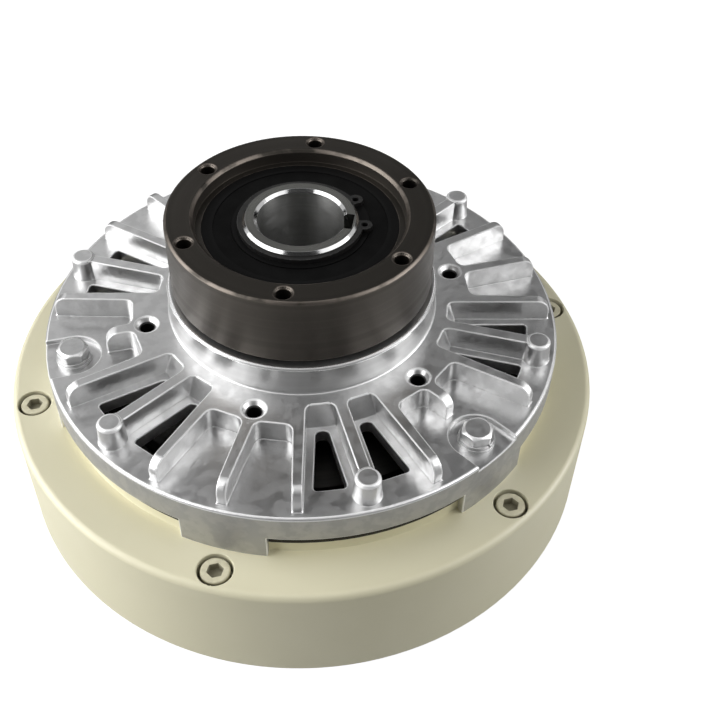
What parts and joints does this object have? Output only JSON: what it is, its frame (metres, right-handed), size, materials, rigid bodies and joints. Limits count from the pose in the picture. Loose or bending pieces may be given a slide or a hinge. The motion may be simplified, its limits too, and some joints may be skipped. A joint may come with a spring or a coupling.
{
  "type": "magnetic powder brake",
  "caption": "Hollow-shaft magnetic powder brake: a painted round yoke between ribbed cast covers, with a bolt-on drive flange and a keyed hollow shaft that turn freely.",
  "frame": {"origin": "on the shaft's axis, in the plane of the rear boss's face that the unit stands on", "axes": "+Z along the shaft's axis from the rear to the drive flange; +Y through the lead outlet; +X through a foot of the covers"},
  "size_m": [0.219, 0.219, 0.1537],
  "materials": {
    "yoke_paint": "satin",
    "painted_screws": "satin",
    "winding_copper": "enamelled winding",
    "moulded_former": "moulded",
    "spacer_bronze": "turned",
    "bush_rubber": "matt",
    "cast_aluminium": "die-cast, machined on the boss",
    "plated_steel": "zinc plated",
    "bearing_steel": "ground",
    "cage_brass": "machined",
    "seal_rubber": "matt",
    "spring_steel": "phosphated",
    "dark_phosphated_steel": "dark phosphated",
    "turned_steel": "turned",
    "black_screws": "black oxide",
    "iron_powder": "loose grey powder",
    "ground_shaft_steel": "ground"
  },
  "bodies": {
    "housing": {"yoke_front_half": "yoke_paint", "yoke_rear_half": "yoke_paint", "field_coil": "winding_copper", "coil_bobbin": "moulded_former", "pole_spacer": "spacer_bronze", "lead_grommet": "bush_rubber", "yoke_screws": "painted_screws", "front_cover": "cast_aluminium", "rear_cover": "cast_aluminium", "front_cover_bolts": "plated_steel", "rear_cover_bolts": "plated_steel", "front_spring_washers": "plated_steel", "rear_spring_washers": "plated_steel", "front_flat_washers": "plated_steel", "rear_flat_washers": "plated_steel", "front_main_outer_race": "bearing_steel", "rear_main_outer_race": "bearing_steel", "front_main_seals": "seal_rubber", "rear_main_seals": "seal_rubber", "front_main_retainer": "spring_steel", "rear_main_retainer": "spring_steel"},
    "drive_rotor": {"drive_flange": "dark_phosphated_steel", "front_end_plate": "turned_steel", "rear_end_plate": "turned_steel", "drum_front_ring": "turned_steel", "drum_isolating_ring": "spacer_bronze", "drum_rear_ring": "turned_steel", "flange_screws": "black_screws", "front_drum_screws": "black_screws", "rear_drum_screws": "black_screws", "front_main_inner_race": "bearing_steel", "rear_main_inner_race": "bearing_steel", "front_main_balls": "bearing_steel", "rear_main_balls": "bearing_steel", "front_main_cage": "cage_brass", "rear_main_cage": "cage_brass", "front_shaft_outer_race": "bearing_steel", "rear_shaft_outer_race": "bearing_steel", "front_shaft_seals": "seal_rubber", "rear_shaft_seals": "seal_rubber", "rear_shaft_retainer": "spring_steel", "front_powder_seal": "seal_rubber", "rear_powder_seal": "seal_rubber", "magnetic_powder": "iron_powder"},
    "driven_rotor": {"hollow_shaft": "ground_shaft_steel", "inner_rotor": "turned_steel", "rotor_key": "turned_steel", "front_shaft_circlip": "spring_steel", "shaft_circlips": "spring_steel", "front_shaft_inner_race": "bearing_steel", "rear_shaft_inner_race": "bearing_steel", "front_shaft_balls": "bearing_steel", "rear_shaft_balls": "bearing_steel", "front_shaft_cage": "cage_brass", "rear_shaft_cage": "cage_brass"}
  },
  "joints": [
    {"name": "drive_flange_spin", "type": "hinge", "parent": "housing", "child": "drive_rotor", "pos_m": [0, 0, 0.1407], "axis": [0, 0, 1], "continuous": true},
    {"name": "hollow_shaft_spin", "type": "hinge", "parent": "drive_rotor", "child": "driven_rotor", "pos_m": [0, 0, 0.0766], "axis": [0, 0, 1], "continuous": true}
  ]
}
